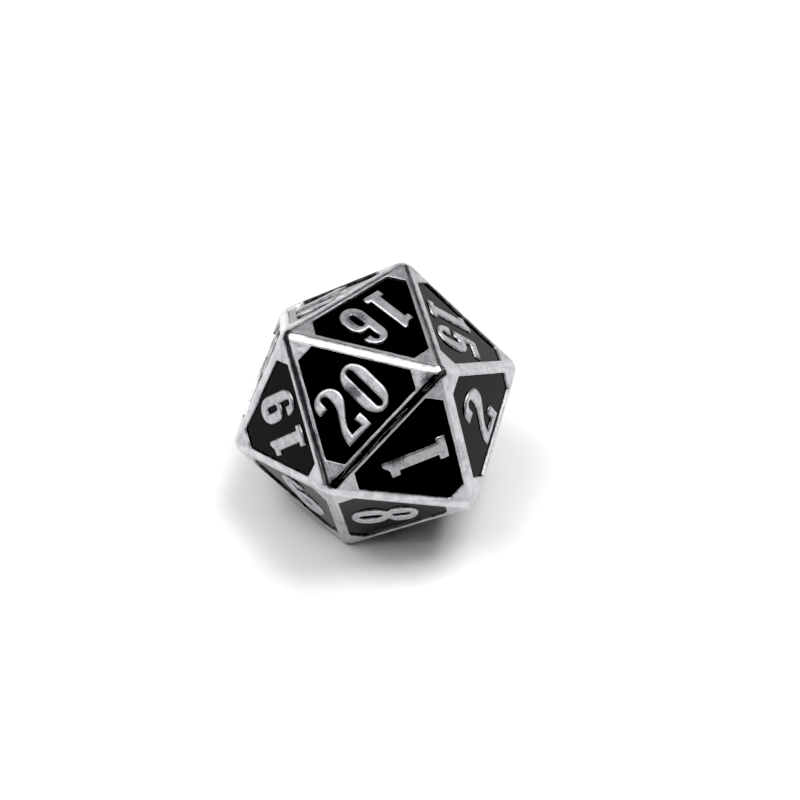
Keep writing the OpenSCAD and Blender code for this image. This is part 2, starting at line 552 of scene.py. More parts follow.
    def _nine(self) -> Outline:
        """The digit 9."""
        return self._half_turned(self._six())

    def outline(self, digit: int) -> Outline:
        """Draws a digit.

        Args:
            digit: the digit, 0 to 9.

        Returns:
            Its outer outline.
        """
        low = (self._zero, self._one, self._two, self._three, self._four)
        high = (self._five, self._six, self._seven, self._eight, self._nine)
        return (low + high)[digit]()

    def eyes(self, digit: int) -> list[Outline]:
        """Draws a digit's closed eyes.

        Args:
            digit: the digit, 0 to 9.

        Returns:
            Their outlines, the upper one first; none for a digit without eyes.
        """
        if digit == 0:
            return [self._slot(self.eye_w, self.hair, self.grid - self.hair, 0.8)]
        if digit == 4:
            return [Outline().line((-1.25, 3.7), (0.05, 3.7), (0.05, 6.8))]
        if digit == 8:
            return [self._slot(self.eye_w, 6.05, 8.85, 0.7), self._slot(0.7, 1.15, 4.65, 0.8)]
        if digit in (6, 9):
            eye = self._slot(0.55, 1.85, 4.9, 0.7)
            return [eye if digit == 6 else self._half_turned(eye)]
        return []


@dataclass(frozen=True)
class Lettering:
    """Sets the digits of each number in its pocket.

    Attributes:
        plan: the die's sizes.
        digits: shapes of the digits.
        single_at: middle of the numerals 1 to 9, from the pocket's middle.
        pair_at: middle of the numerals 10 to 20, from the pocket's middle.
    """

    plan: DiePlan
    digits: Digits = Digits()
    single_at: Point = (0, 0.1)
    pair_at: Point = (-0.1, -0.2)

    def _set(self, number: int, outline: Outline, side: int) -> Outline:
        """Moves a digit's outline to its place.

        Args:
            number: the number that it belongs to.
            outline: the outline on the digits' grid.
            side: -1 for the first of two digits, 1 for the second, 0 for a single one.

        Returns:
            The outline in its pocket, in millimetres.
        """
        height = self.plan.numeral_height(number)
        at = self.pair_at if side else self.single_at
        shift = side * self.plan.digit_pitch * height / 2
        place = Matrix.Translation((at[0] + shift, at[1] - height / 2, 0))
        return outline.changed(place @ Matrix.Scale(height / self.digits.grid, 4))

    def _figures(self, number: int) -> list[tuple[int, int]]:
        """Splits a number into digits.

        Args:
            number: the number, 1 to 20.

        Returns:
            Each digit with its side: -1 for the first of two, 1 for the second, 0 for a single one.
        """
        if number < 10:
            return [(number, 0)]
        return [(number // 10, -1), (number % 10, 1)]

    def solid(self, number: int) -> list[Outline]:
        """Outer outlines of a number's digits."""
        return [self._set(number, self.digits.outline(d), side) for d, side in self._figures(number)]

    def eyes(self, number: int) -> list[Outline]:
        """Eyes of a number's digits, the upper one first."""
        figures = self._figures(number)
        return [self._set(number, eye, side) for d, side in figures for eye in self.digits.eyes(d)]

    def pocket(self) -> Outline:
        """A pocket: a triangle with its corners cut off.

        Returns:
            Its outline.
        """
        plan = self.plan
        half_long = (plan.pocket_short_r - plan.pocket_long_r / 2) / math.cos(math.radians(30))
        points = []
        for side in range(SIDES):
            turn = Matrix.Rotation(side * math.tau / SIDES, 2)
            for end in (-1, 1):
                points.append(tuple(turn @ Vector((end * half_long, -plan.pocket_long_r))))
        return Outline().line(*points)


def shape_from(
    outlines: list[Outline], height: float, grow: float, roll: float = 0, steps: int = 0
) -> bmesh.types.BMesh:
    """Fills outlines and gives them a height; an outline inside another is a hole.

    Args:
        outlines: the closed outlines, in millimetres.
        height: height of the shape, whose top is at zero.
        grow: how far its sides stand outside the outlines.
        roll: radius of its rounded edges.
        steps: facets in each rounded edge.

    Returns:
        A closed mesh.
    """
    curve = bpy.data.curves.new("outline", "CURVE")
    curve.dimensions = "2D"
    curve.fill_mode = "BOTH"
    curve.resolution_u = CURVE_STEPS
    curve.extrude = height / 2 - roll
    curve.bevel_depth = roll
    curve.bevel_resolution = steps
    curve.offset = grow - roll
    for outline in outlines:
        outline.add_to(curve)
    holder = bpy.data.objects.new("outline", curve)
    mesh = bpy.data.meshes.new_from_object(holder)
    bm = bmesh.new()
    bm.from_mesh(mesh)
    bpy.data.objects.remove(holder)
    bpy.data.curves.remove(curve)
    bpy.data.meshes.remove(mesh)
    bmesh.ops.remove_doubles(bm, verts=bm.verts[:], dist=TINY)
    bmesh.ops.dissolve_limit(bm, angle_limit=FLAT_ANGLE, verts=bm.verts[:], edges=bm.edges[:])
    bmesh.ops.recalc_face_normals(bm, faces=bm.faces[:])
    bmesh.ops.translate(bm, verts=bm.verts[:], vec=(0, 0, -height / 2))
    return bm


def roll_edges(bm: bmesh.types.BMesh, geom: list[Geometry], reach: float, steps: int) -> None:
    """Rounds edges off.

    Args:
        bm: the mesh.
        geom: the edges, and the corners where they meet if those are rounded too.
        reach: how far the rounding reaches into the faces beside an edge.
        steps: facets across an edge.
    """
    bmesh.ops.bevel(
        bm,
        geom=geom,
        offset=reach,
        offset_type="OFFSET",
        affect="EDGES",
        segments=steps,
        profile=0.5,
        material=-1,
    )


def sort_faces(mesh: bpy.types.Mesh) -> None:
    """Puts a mesh's faces in the order of their corners, so that each run stores the same.

    Args:
        mesh: the mesh, which is changed.
    """
    bm = bmesh.new()
    bm.from_mesh(mesh)
    ordered = sorted(bm.faces, key=lambda f: sorted(v.index for v in f.verts))
    for index, face in enumerate(ordered):
        face.index = index
    bm.faces.sort()
    bm.to_mesh(mesh)
    bm.free()


def scratch_object(name: str, bm: bmesh.types.BMesh) -> bpy.types.Object:
    """Puts a mesh in the scene.

    Args:
        name: name of the object and its mesh.
        bm: the mesh, which is freed.

    Returns:
        The object.
    """
    mesh = bpy.data.meshes.new(name)
    bm.to_mesh(mesh)
    bm.free()
    made = bpy.data.objects.new(name, mesh)
    bpy.context.scene.collection.objects.link(made)
    return made


def finish_piece(piece: bpy.types.Object, node: str, material: bpy.types.Material) -> None:
    """Gives a piece its size, finish and place in the table.

    Args:
        piece: the object, still in millimetres.
        node: the CAD node that it stands for.
        material: its finish.
    """
    piece.data.transform(Matrix.Scale(MM, 4))
    piece.data.shade_smooth()
    piece.data.materials.clear()
    piece.data.materials.append(material)
    smooth = piece.modifiers.new("flats stay flat", "WEIGHTED_NORMAL")
    smooth.weight = FLAT_WEIGHT
    smooth.keep_sharp = True
    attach(piece, BODY)
    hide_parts(node)
    LOG.info("%s: %d faces, for %s", piece.name, len(piece.data.polygons), node)


class Graph:
    """Adds nodes to a material and links them."""

    def __init__(self, tree: bpy.types.NodeTree) -> None:
        """Starts from an empty tree."""
        self.tree = tree
        tree.nodes.clear()

    def add(self, kind: str, **settings: NodeValue) -> bpy.types.Node:
        """Adds a node.

        Args:
            kind: its type, without the ShaderNode that its name starts with.
            settings: the options to set.

        Returns:
            The node.
        """
        node = self.tree.nodes.new("ShaderNode" + kind)
        for name, value in settings.items():
            setattr(node, name, value)
        return node

    def feed(self, socket: Socket, value: Socket | NodeValue) -> None:
        """Gives a socket its value.

        Args:
            socket: the input.
            value: the output to link to it, or a constant.
        """
        if isinstance(value, Socket):
            self.tree.links.new(value, socket)
        else:
            socket.default_value = value

    def math(self, operation: str, a: Socket | float, b: Socket | float) -> Socket:
        """Adds a sum.

        Args:
            operation: what to do with the two values.
            a: the first.
            b: the second.

        Returns:
            The result.
        """
        node = self.add("Math", operation=operation)
        self.feed(node.inputs[0], a)
        self.feed(node.inputs[1], b)
        return node.outputs[0]

    def ranged(self, value: Socket, source: Point, target: Point) -> Socket:
        """Takes a value from one range to another, with soft ends.

        Args:
            value: the value.
            source: ends of the range that it comes from.
            target: what it becomes at each of them.

        Returns:
            The new value.
        """
        node = self.add("MapRange", interpolation_type="SMOOTHSTEP")
        self.feed(node.inputs["Value"], value)
        for name, number in zip(("From Min", "From Max", "To Min", "To Max"), (*source, *target)):
            node.inputs[name].default_value = number
        return node.outputs["Result"]

    def noise(self, where: Socket, scale: float, detail: float, rough: float = 0.5) -> Socket:
        """Cloudy noise.

        Args:
            where: the coordinates, in millimetres.
            scale: features in each millimetre.
            detail: how many finer layers it has.
            rough: how strong the finer layers are.

        Returns:
            The noise, about 0 to 1.
        """
        node = self.add("TexNoise")
        self.feed(node.inputs["Vector"], where)
        node.inputs["Scale"].default_value = scale
        node.inputs["Detail"].default_value = detail
        node.inputs["Roughness"].default_value = rough
        return node.outputs["Fac"]

    def specks(self, where: Socket, scale: float, size: float) -> Socket:
        """Round specks.

        Args:
            where: the coordinates, in millimetres.
            scale: cells in each millimetre, which hold one speck each.
            size: radius of a speck, as a share of its cell.

        Returns:
            A value of 1 in the middle of each speck and 0 outside.
        """
        node = self.add("TexVoronoi", feature="F1")
        self.feed(node.inputs["Vector"], where)
        node.inputs["Scale"].default_value = scale
        return self.ranged(node.outputs["Distance"], (0, size), (1, 0))

    def between(self, share: Socket, a: Socket, b: Socket) -> Socket:
        """Mixes two numbers.

        Args:
            share: share of the second, 0 to 1.
            a: the first.
            b: the second.

        Returns:
            The mix.
        """
        node = self.add("Mix", data_type="FLOAT")
        self.feed(node.inputs[MIX_SHARE], share)
        self.feed(node.inputs[NUMBER_A], a)
        self.feed(node.inputs[NUMBER_B], b)
        return node.outputs[NUMBER_OUT]

    def blend(self, share: Socket | float, a: Socket | Colour, b: Socket | Colour) -> Socket:
        """Mixes two colours.

        Args:
            share: share of the second, 0 to 1.
            a: the first.
            b: the second.

        Returns:
            The mix.
        """
        node = self.add("Mix", data_type="RGBA")
        self.feed(node.inputs[MIX_SHARE], share)
        self.feed(node.inputs[COLOUR_A], a)
        self.feed(node.inputs[COLOUR_B], b)
        return node.outputs[COLOUR_OUT]

    def in_mm(self, socket: Socket) -> Socket:
        """Takes coordinates to millimetres.

        Args:
            socket: the coordinates, in metres.

        Returns:
            The coordinates, in millimetres.
        """
        node = self.add("VectorMath", operation="SCALE")
        self.feed(node.inputs[0], socket)
        node.inputs["Scale"].default_value = 1 / MM
        return node.outputs[0]

    def stretched(self, socket: Socket, scale: tuple[float, float, float]) -> Socket:
        """Scales coordinates.

        Args:
            socket: the coordinates.
            scale: what each axis is multiplied by.

        Returns:
            The new coordinates.
        """
        node = self.add("Mapping")
        self.feed(node.inputs["Vector"], socket)
        node.inputs["Scale"].default_value = scale
        return node.outputs["Vector"]

    def bump(self, height: Socket, depth: float, under: Socket | None = None) -> Socket:
        """Adds relief to the surface.

        Args:
            height: the relief, 0 to 1.
            depth: its depth, in millimetres.
            under: the normal that it is added to.

        Returns:
            The new normal.
        """
        node = self.add("Bump")
        node.inputs["Strength"].default_value = 1
        node.inputs["Distance"].default_value = depth * MM
        self.feed(node.inputs["Height"], height)
        if under is not None:
            self.feed(node.inputs["Normal"], under)
        return node.outputs["Normal"]


# Some of these patches are painted dark reflections, not enamel.
@dataclass(frozen=True)
class SmearAndDarkReflection:
    """A dark patch on the metal: partly enamel that a wipe left, partly a painted dark reflection.

    Attributes:
        number: the face that it lies on.
        at: its middle, right and up from the middle of the face, in millimetres.
        radius: how far it reaches, in millimetres.
    """

    number: int
    at: Point
    radius: float


@dataclass(frozen=True)
class PlatedMetal:
    """Bright nickel plate on a tumbled casting: grainy faces, brushed and burnished edges.

    Attributes:
        plan: the die's sizes.
        bright: colour of clean plate.
        dull: colour of the plate where it is clouded.
        grime_and_dark_reflection: colour of enamel left in pits and along rims, and of the painted dark
            reflections.
        rough_face: roughness of the faces.
        rough_edge: roughness of the burnished edges.
        peel_depth: depth of the casting's slow waves, in millimetres.
        grain_depth: depth of the fine grain, in millimetres.
        brush_depth: depth of the brush marks, in millimetres.
        pit_depth: depth of the pits and scratches, in millimetres.
        smears_and_dark_reflections: where enamel was left on the metal, and where dark reflections are
            painted on it.
    """

    plan: DiePlan
    bright: Colour = (0.56, 0.56, 0.58, 1)
    dull: Colour = (0.39, 0.39, 0.41, 1)
    grime_and_dark_reflection: Colour = (0.03, 0.03, 0.035, 1)
    rough_face: float = 0.31
    rough_edge: float = 0.13
    peel_depth: float = 0.012
    grain_depth: float = 0.005
    brush_depth: float = 0.008
    pit_depth: float = 0.012
    smears_and_dark_reflections: tuple[SmearAndDarkReflection, ...] = (
        # The three patches on face 20 paint dark reflections at its two lower corners and by its 0; the
        # rest stand for wiped enamel.
        SmearAndDarkReflection(20, (0.6, 0.2), 1.5),
        SmearAndDarkReflection(20, (5.3, -3.6), 1.5),
        SmearAndDarkReflection(20, (-5.6, -3.7), 1.0),
        SmearAndDarkReflection(16, (1.3, -1.1), 1.7),
        SmearAndDarkReflection(1, (1.0, 1.6), 1.9),
        SmearAndDarkReflection(7, (0.2, 1.2), 1.0),
        SmearAndDarkReflection(12, (-1.2, -1.4), 1.1),
    )

    def _smear_and_reflection_share(self, g: Graph, where: Socket, along: Socket) -> Socket:
        """How much enamel the wipes left and how much dark reflection is painted, 0 to 1.

        Args:
            g: the material's graph.
            where: the coordinates, in millimetres.
            along: the coordinates along and across the brush marks.

        Returns:
            The amount.
        """
        total = 0
        # Patches of wiped enamel and of painted dark reflection, each fading out from its middle.
        for dark_patch in self.smears_and_dark_reflections:
            middle = self.plan.seat(dark_patch.number, self.plan.face_dist) @ Vector(dark_patch.at).to_3d()
            reach = g.add("VectorMath", operation="DISTANCE")
            g.feed(reach.inputs[0], where)
            g.feed(reach.inputs[1], tuple(middle))
            share = g.ranged(reach.outputs["Value"], (0.2 * dark_patch.radius, dark_patch.radius), (1, 0))
            total = g.math("MAXIMUM", total, share)
        streaks = g.noise(g.stretched(along, (2.2, 6, 1)), scale=1, detail=5, rough=0.8)
        spots = g.noise(where, scale=5, detail=5, rough=0.85)
        mottle = g.math("MULTIPLY", g.math("ADD", streaks, spots), 0.5)
        return g.ranged(g.math("ADD", mottle, g.math("MULTIPLY", total, 0.4)), (0.66, 0.98), (0, 0.95))

    def material(self) -> bpy.types.Material:
        """Builds the node material.

        Returns:
            The material.
        """
        made = bpy.data.materials.new("plated_metal")
        made.use_nodes = True
        g = Graph(made.node_tree)
        where = g.in_mm(g.add("TexCoord").outputs["Object"])
        along = g.add("UVMap", uv_map=Casting.BRUSH_MAP).outputs["UV"]
        edge = g.add("Attribute", attribute_name=Casting.EDGE_WEAR).outputs["Fac"]
        rim = g.add("Attribute", attribute_name=Casting.RIM).outputs["Fac"]
        numeral = g.add("Attribute", attribute_name=Casting.NUMERAL).outputs["Fac"]

        cloud = g.noise(where, scale=1.1, detail=5, rough=0.6)
        peel = g.noise(where, scale=1.9, detail=2)
        grain = g.noise(where, scale=11, detail=4, rough=0.65)
        brush = g.noise(g.stretched(along, (0.7, 15, 1)), scale=1, detail=5, rough=0.7)
        lines = g.noise(g.stretched(along, (0.22, 21, 1)), scale=1, detail=2)
        scratches = g.ranged(lines, (0.64, 0.7), (0, 1))
        patches = g.ranged(g.noise(where, scale=0.8, detail=1), (0.5, 0.62), (0, 1))
        pits = g.math("MULTIPLY", g.specks(where, scale=3.1, size=0.13), patches)

        shade = g.blend(g.ranged(cloud, (0.42, 0.68), (0, 1)), self.bright, self.dull)
        shade = g.blend(g.ranged(grain, (0.5, 0.72), (0, 0.55)), shade, self.dull)
        grit = g.ranged(g.noise(where, scale=4.5, detail=5, rough=0.85), (0.5, 0.66), (0, 0.5))
        shade = g.blend(g.math("MULTIPLY", numeral, grit), shade, self.grime_and_dark_reflection)
        blots = g.ranged(g.noise(where, scale=5, detail=3), (0.42, 0.6), (0, 0.9))
        stain = g.math("MULTIPLY", rim, blots)
        marks = g.math("MAXIMUM", g.math("MULTIPLY", scratches, 0.5), pits)
        # Rim stains, wiped enamel and the painted dark reflections all take the dark colour here.
        left = g.math("MAXIMUM", stain, self._smear_and_reflection_share(g, where, along))
        colour = g.blend(g.math("MAXIMUM", left, marks), shade, self.grime_and_dark_reflection)

        face_rough = g.math("ADD", g.ranged(grain, (0.3, 0.7), (-0.07, 0.09)), self.rough_face)
        face_rough = g.math("ADD", face_rough, g.ranged(brush, (0.3, 0.7), (-0.08, 0.08)))
        face_rough = g.math("ADD", face_rough, g.math("MULTIPLY", numeral, 0.08))
        edge_rough = g.math("ADD", g.ranged(brush, (0.3, 0.7), (-0.05, 0.07)), self.rough_edge)
        rough = g.between(g.ranged(edge, (0, 0.5), (0, 1)), face_rough, edge_rough)

        coarse = g.math("MULTIPLY", grain, g.ranged(numeral, (0, 1), (1, 3.2)))
        normal = g.bump(peel, self.peel_depth)
        normal = g.bump(brush, self.brush_depth, normal)
        normal = g.bump(coarse, self.grain_depth, normal)
        dents = g.math("MAXIMUM", pits, scratches)
        normal = g.bump(g.math("SUBTRACT", 1, dents), self.pit_depth, normal)

        shader = g.add("BsdfPrincipled")
        shader.inputs["Metallic"].default_value = 1
        g.feed(shader.inputs["Base Color"], colour)
        g.feed(shader.inputs["Roughness"], rough)
        g.feed(shader.inputs["Normal"], normal)
        g.feed(g.add("OutputMaterial").inputs["Surface"], shader.outputs[0])
        return made


@dataclass(frozen=True)
class BlackEnamel:
    """Glossy black enamel with faint waves, smudges and a little dust.

    Attributes:
        black: colour of the enamel.
        dust: colour of the dust on it.
        gloss_rough: roughness where it is clean.
        smudge_rough: roughness where it is smudged.
        specular: strength of its reflection.
        wave_depth: depth of the waves in its surface, in millimetres.
    """

    black: Colour = (0.0018, 0.0018, 0.0024, 1)
    dust: Colour = (0.05, 0.05, 0.05, 1)
    gloss_rough: float = 0.05
    smudge_rough: float = 0.16
    specular: float = 0.08
    wave_depth: float = 0.004

    def material(self) -> bpy.types.Material:
        """Builds the node material.

        Returns:
            The material.
        """
        made = bpy.data.materials.new("enamel")
        made.use_nodes = True
        g = Graph(made.node_tree)
        where = g.in_mm(g.add("TexCoord").outputs["Object"])
        smudge = g.noise(where, scale=0.7, detail=5, rough=0.6)
        rough = g.ranged(smudge, (0.5, 0.75), (self.gloss_rough, self.smudge_rough))
        wave = g.noise(where, scale=0.6, detail=1)
        specks = g.specks(where, scale=2.6, size=0.05)
        dust = g.math("MULTIPLY", specks, g.ranged(wave, (0.45, 0.6), (0, 1)))

        shader = g.add("BsdfPrincipled")
        shader.inputs["Specular IOR Level"].default_value = self.specular
        g.feed(shader.inputs["Base Color"], g.blend(dust, self.black, self.dust))
        g.feed(shader.inputs["Roughness"], rough)
        g.feed(shader.inputs["Normal"], g.bump(wave, self.wave_depth))
        g.feed(g.add("OutputMaterial").inputs["Surface"], shader.outputs[0])
        return made


@dataclass
class Casting:
    """The metal casting: rolled edges, a rimmed pocket in each face, raised numerals.

    Attributes:
        plan: the die's sizes.
        letters: the numerals.
        metal: its finish.
        edge_roll: how far the rolled edges reach into each face.
        roll_steps: facets across a rolled edge.
        rim_roll: radius of the pockets' rims.
        rim_steps: facets across a rim.
        rim_cuts: cuts in each side of a pocket, so that its rim can stray.
        draft: how far a pocket's wall leans in from its rim to its floor.
        wander: how far a pocket's rim strays from a straight line.
        wander_waves: scale and strength of each wave in that straying.
        numeral_roll: radius of the numerals' edges.
        numeral_steps: facets across the numerals' edges.
        numeral_root: how far the numerals reach below the pockets' floors.
        numeral_gap: least distance between a numeral and its pocket's wall.
        map_shifts: how far the faces' parts of the brush map lie apart.
    """

    BRUSH_MAP = "brush"
    EDGE_WEAR = "edge_wear"
    RIM = "rim"
    NUMERAL = "numeral"

    plan: DiePlan
    letters: Lettering
    metal: PlatedMetal
    edge_roll: float = 0.42
    roll_steps: int = 6
    rim_roll: float = 0.06
    rim_steps: int = 3
    rim_cuts: int = 25
    draft: float = 0.03
    wander: float = 0.016
    wander_waves: tuple[Point, ...] = ((1.3, 1), (5, 0.7))
    numeral_roll: float = 0.18
    numeral_steps: int = 4
    numeral_root: float = 0.3
    numeral_gap: float = 0.12
    map_shifts: tuple[float, float, float] = (3.7, 1.9, 5.3)

    def _blank(self) -> bmesh.types.BMesh:
        """The solid with rolled edges, before its pockets.

        Returns:
            A closed mesh, in millimetres.
        """
        bm = bmesh.new()
        bmesh.ops.create_icosphere(bm, subdivisions=1, radius=self.plan.corner_dist)
        bmesh.ops.rotate(bm, verts=bm.verts[:], cent=(0, 0, 0), matrix=self.plan.turn)
        roll_edges(bm, bm.verts[:] + bm.edges[:], self.edge_roll, self.roll_steps)
        return bm

    def _face_of(self, bm: bmesh.types.BMesh, number: int) -> bmesh.types.BMFace:
        """Finds the large flat face that carries a number.

        Args:
            bm: the casting.
            number: the number.

        Returns:
            The face.
        """
        out = self.plan.axes(number)[2]
        flats = [f for f in bm.faces if f.normal.dot(out) > 1 - TINY]
        return max(flats, key=lambda f: f.calc_area())

    def _cut_pocket(self, bm: bmesh.types.BMesh, number: int) -> None:
        """Sinks a pocket with a rolled rim into a face.

        Args:
            bm: the casting.
            number: the number of the face.
        """
        plan = self.plan
        axes = plan.axes(number)
        face = self._face_of(bm, number)
        bmesh.ops.inset_individual(
            bm, faces=[face], thickness=plan.border - self.edge_roll, use_even_offset=True
        )
        for side in range(SIDES):
            turn = Matrix.Rotation(side * math.tau / SIDES, 3, axes[2])
            to_corner = turn @ axes[1]
            face = self._face_of(bm, number)
            bmesh.ops.bisect_plane(
                bm,
                geom=[face, *face.edges[:], *face.verts[:]],
                dist=TINY,
                plane_co=to_corner * plan.pocket_short_r,
                plane_no=to_corner,
            )
        face = self._face_of(bm, number)
        bmesh.ops.subdivide_edges(bm, edges=face.edges[:], cuts=self.rim_cuts)
        face = self._face_of(bm, number)
        for vert in face.verts:
            waves = (noise.noise_vector(vert.co * scale) * size for scale, size in self.wander_waves)
            stray = sum(waves, Vector())
            vert.co += self.wander * (stray - stray.dot(axes[2]) * axes[2])
        rim = face.edges[:]
        bmesh.ops.inset_individual(
            bm, faces=[face], thickness=self.draft, depth=-plan.pocket_depth, use_even_offset=True
        )
        roll_edges(bm, rim, self.rim_roll, self.rim_steps)

    def _numerals(self) -> bmesh.types.BMesh:
        """All numerals, standing in their pockets.

        Returns:
            One mesh, in millimetres.
        """
        whole = bmesh.new()
        height = self.plan.pocket_depth + self.numeral_root
        for number in FACE_CORNERS:
            outlines = self.letters.solid(number) + self.letters.eyes(number)
            bm = shape_from(outlines, height, 0, self.numeral_roll, self.numeral_steps)
            bm.transform(self.plan.seat(number, self.plan.face_dist))
            mesh = bpy.data.meshes.new("numeral")
            bm.to_mesh(mesh)
            bm.free()
            whole.from_mesh(mesh)
            bpy.data.meshes.remove(mesh)
        return whole

    def _joined(self) -> bpy.types.Mesh:
        """The pocketed solid and its numerals as one.

        Returns:
            A closed mesh, in millimetres.
        """
        blank = self._blank()
        for number in FACE_CORNERS:
            self._cut_pocket(blank, number)
        body = scratch_object("body", blank)
        numerals = scratch_object("numerals", self._numerals())
        join = body.modifiers.new("join", "BOOLEAN")
        join.operation = "UNION"
        join.solver = "MANIFOLD"
        join.object = numerals
        whole = body.evaluated_get(bpy.context.evaluated_depsgraph_get())
        mesh = bpy.data.meshes.new_from_object(whole)
        bpy.data.objects.remove(body)
        bpy.data.objects.remove(numerals)
        sort_faces(mesh)
        return mesh

    def _mark_wear(self, mesh: bpy.types.Mesh) -> None:
        """Stores where the die's edges, the pockets' rims and the numerals are.

        Args:
            mesh: the casting, which gets three attributes from 0 to 1.
        """
        span = self.edge_roll * math.sin(FACE_TURN)
        names = (self.EDGE_WEAR, self.RIM, self.NUMERAL)
        edge, rim, numeral = (mesh.attributes.new(name, "FLOAT", "POINT") for name in names)
        for vert in mesh.vertices:
            first, second = self.plan.nearest(vert.co)
            out, beside = self.plan.axes(first)[2], self.plan.axes(second)[2]
            sunk = self.plan.face_dist - out.dot(vert.co)
            near = max(0, 1 - (out - beside).dot(vert.co) / span)
            raised = self.plan.in_pocket(first, vert.co, self.numeral_gap)
            edge.data[vert.index].value = near
            numeral.data[vert.index].value = raised
            rim.data[vert.index].value = min(1, max(0, sunk) / self.plan.enamel_drop) if near == 0 else 0

    def _lay_brush_map(self, mesh: bpy.types.Mesh) -> None:
        """Lays brush marks along the nearest edge of the die, and across each numeral.

        Args:
            mesh: the casting, which gets a UV map in millimetres.
        """
        shift_u, shift_v, shift_next = self.map_shifts
        layer = mesh.uv_layers.new(name=self.BRUSH_MAP)
        for poly in mesh.polygons:
            first, second = self.plan.nearest(poly.center)
            axes = self.plan.axes(first)
            along = axes[2].cross(self.plan.axes(second)[2]).normalized()
            across = axes[2].cross(along)
            if self.plan.in_pocket(first, poly.center, self.numeral_gap):
                along, across = axes[0], axes[1]
            shift = Vector((shift_u * first, shift_v * first + shift_next * second))
            for loop in poly.loop_indices:
                co = mesh.vertices[mesh.loops[loop].vertex_index].co
                layer.data[loop].uv = Vector((co.dot(along), co.dot(across))) + shift

    def build(self) -> bpy.types.Object:
        """Models the casting and dresses it.

        Returns:
            The finished piece.
        """
        mesh = self._joined()
        self._mark_wear(mesh)
        self._lay_brush_map(mesh)
        piece = bpy.data.objects.new("casting", mesh)
        bpy.context.scene.collection.objects.link(piece)
        finish_piece(piece, CASTING_NODE, self.metal.material())
        return piece


@dataclass
class EnamelPools:
    """The enamel: a pool in each pocket and in each numeral's eyes.

    Attributes:
        plan: the die's sizes.
        letters: the numerals that the pools run round.
        enamel: the finish.
        overlap: how far the pools reach into the metal, so that no gap shows.
        meniscus: for each step in from the rim, how far in it goes and how far down.
    """

    plan: DiePlan
    letters: Lettering
    enamel: BlackEnamel
    overlap: float = 0.03
    meniscus: tuple[tuple[float, float], ...] = ((0.03, 0.02), (0.025, 0.014), (0.03, 0.006), (0.015, 0))

    def _pool(self, number: int, outlines: list[Outline]) -> bmesh.types.BMesh:
        """A pool between outlines, with its edge drawn up where it meets the metal.

        Args:
            number: the number of the face.
            outlines: the pool's outline and those of what stands in it.

        Returns:
            The closed pool in its place.
        """
        rise = sum(down for _, down in self.meniscus)
        height = self.plan.pocket_depth - self.plan.enamel_drop + rise + self.overlap
        bm = shape_from(outlines, height, self.overlap)
        top = [f for f in bm.faces if all(abs(v.co.z) < TINY for v in f.verts)]
        for inward, down in self.meniscus:
            bmesh.ops.inset_region(
                bm, faces=top, thickness=inward, depth=-down, use_boundary=True, use_even_offset=True
            )
        level = self.plan.face_dist - self.plan.enamel_drop + rise
        bm.transform(self.plan.seat(number, level))
        return bm

    def _piece(self, name: str, node: str, bm: bmesh.types.BMesh, material: bpy.types.Material) -> None:
        """Makes a pool a piece."""
        finish_piece(scratch_object(name, bm), node, material)

    def build(self) -> None:
        """Models every pool and dresses it."""
        material = self.enamel.material()
        for number in FACE_CORNERS:
            label = f"{number:02d}"
            outlines = [self.letters.pocket(), *self.letters.solid(number)]
            bm = self._pool(number, outlines)
            self._piece(f"enamel_{label}", f"enamel_field_{label}", bm, material)
            eyes = self.letters.eyes(number)
            for index, eye in enumerate(eyes):
                place = "" if len(eyes) == 1 else ("_upper", "_lower")[index]
                bm = self._pool(number, [eye])
                self._piece(f"enamel_{label}_eye{place}", f"enamel_eye_{label}{place}", bm, material)


@dataclass(frozen=True)
class Softbox:
    """A rectangular studio light that lights the die but isn't seen itself.

    Attributes:
        name: what the light is called.
        azimuth: side that it stands on, in degrees.
        elevation: its height above the horizon, in degrees.
        distance: its distance from the die, in metres.
        size: its width and height, in metres.
        radiance: how bright its surface is.
    """

    name: str
    azimuth: float
    elevation: float
    distance: float
    size: tuple[float, float]
    radiance: float

    def build(self) -> None:
        """Adds the light to the scene, turned towards the die."""
        light = bpy.data.lights.new(self.name, "AREA")
        light.shape = "RECTANGLE"
        light.size, light.size_y = self.size
        light.energy = self.radiance * math.pi * self.size[0] * self.size[1]
        made = bpy.data.objects.new(self.name, light)
        away = direction(self.azimuth, self.elevation)
        made.location = self.distance * away
        made.rotation_euler = away.to_track_quat("Z", "Y").to_euler()
        made.visible_camera = False
        bpy.context.scene.collection.objects.link(made)


@dataclass(frozen=True)
class Flag:
    """A black card that only reflections show, standing on the floor.

    Attributes:
        name: what the card is called.
        azimuth: side that it stands on, in degrees.
        distance: its distance from the die, in metres.
        size: its width and height, in metres.
    """

    name: str
    azimuth: float
    distance: float
    size: tuple[float, float]

    def build(self, floor_level: float) -> None:
        """Stands the card on the floor, facing the die.

        Args:
            floor_level: height of the floor, in metres.
        """
        bm = bmesh.new()
        bmesh.ops.create_grid(bm, x_segments=1, y_segments=1, size=0.5)
        bmesh.ops.scale(bm, vec=(*self.size, 1), verts=bm.verts[:])
        turn = Matrix.Rotation(math.radians(self.azimuth), 4, "Z")
        upright = Matrix.Rotation(math.pi / 2, 4, "X")
        stand = Matrix.Translation((0, -self.distance, floor_level + self.size[1] / 2))
        bm.transform(turn @ stand @ upright)
        card = scratch_object(self.name, bm)
        card.visible_camera = False
        card.visible_diffuse = False
        card.visible_shadow = False
        black = bpy.data.materials.new(self.name)
        black.use_nodes = True
        g = Graph(black.node_tree)
        cloth = g.add("Emission")
        cloth.inputs["Strength"].default_value = 0
        g.feed(g.add("OutputMaterial").inputs["Surface"], cloth.outputs[0])
        card.data.materials.append(black)


